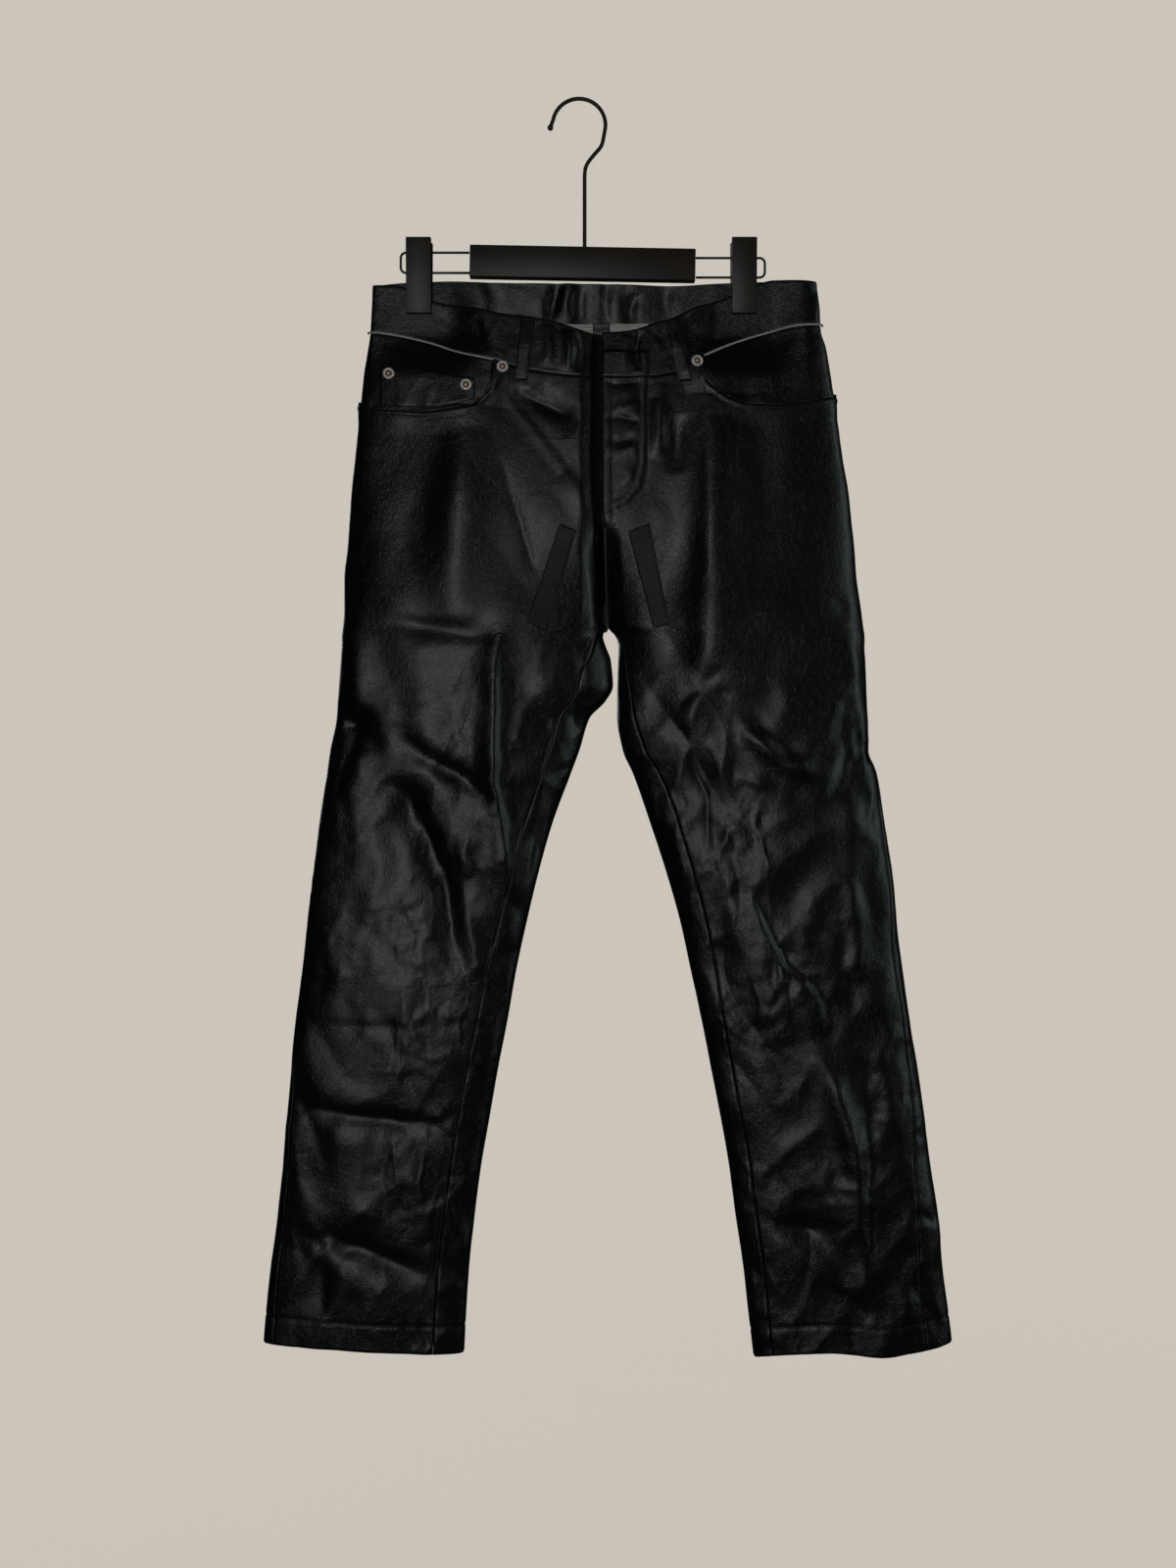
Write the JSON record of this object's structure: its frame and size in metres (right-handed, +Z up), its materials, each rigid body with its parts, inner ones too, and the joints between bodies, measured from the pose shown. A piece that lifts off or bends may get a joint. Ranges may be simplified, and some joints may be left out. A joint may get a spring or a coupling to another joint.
{
  "type": "waxed jeans on a clip hanger",
  "caption": "Black waxed-cloth jeans with piped, riveted front pockets and stitched thigh tabs, hung by the waistband from a slim bar hanger with two clips.",
  "frame": {"origin": "inside top of the hanger's hook, where it bears on what holds it up", "axes": "+Z up, -Y out of the garment's front, +X to the viewer's right, towards the wearer's left"},
  "size_m": [0.6446, 0.0687, 1.1824],
  "materials": {
    "waxed_cloth": "black waxed cotton, soft greenish-grey sheen",
    "piping_cloth": "pale grey matte piping",
    "rivet_metal": "silver ring with a warm brass centre",
    "hanger_paint": "matt warm black paint"
  },
  "bodies": {
    "root": {"back_left": "waxed_cloth", "back_pocket_left": "waxed_cloth", "back_pocket_right": "waxed_cloth", "back_right": "waxed_cloth", "belt_loop_centre_back": "waxed_cloth", "belt_loop_front_left": "waxed_cloth", "belt_loop_front_right": "waxed_cloth", "belt_loop_side_left": "waxed_cloth", "belt_loop_side_right": "waxed_cloth", "centre_back_tape": "waxed_cloth", "clip_left_back_jaw": "hanger_paint", "clip_left_core": "hanger_paint", "clip_left_front_jaw": "hanger_paint", "clip_right_back_jaw": "hanger_paint", "clip_right_core": "hanger_paint", "clip_right_front_jaw": "hanger_paint", "coin_pocket": "waxed_cloth", "front_left": "waxed_cloth", "front_right": "waxed_cloth", "hanger_bar": "hanger_paint", "hanger_hook": "hanger_paint", "hanger_rail_left": "hanger_paint", "hanger_rail_right": "hanger_paint", "piping_left": "piping_cloth", "piping_right": "piping_cloth", "pocket_facing_left": "waxed_cloth", "pocket_facing_right": "waxed_cloth", "rivet_coin_inner": "rivet_metal", "rivet_coin_outer": "rivet_metal", "rivet_pocket_left": "rivet_metal", "rivet_pocket_right": "rivet_metal", "thigh_tab_left": "waxed_cloth", "thigh_tab_right": "waxed_cloth", "waistband_back": "waxed_cloth", "waistband_front_left": "waxed_cloth", "waistband_front_right": "waxed_cloth", "yoke_left": "waxed_cloth", "yoke_right": "waxed_cloth"}
  },
  "joints": []
}
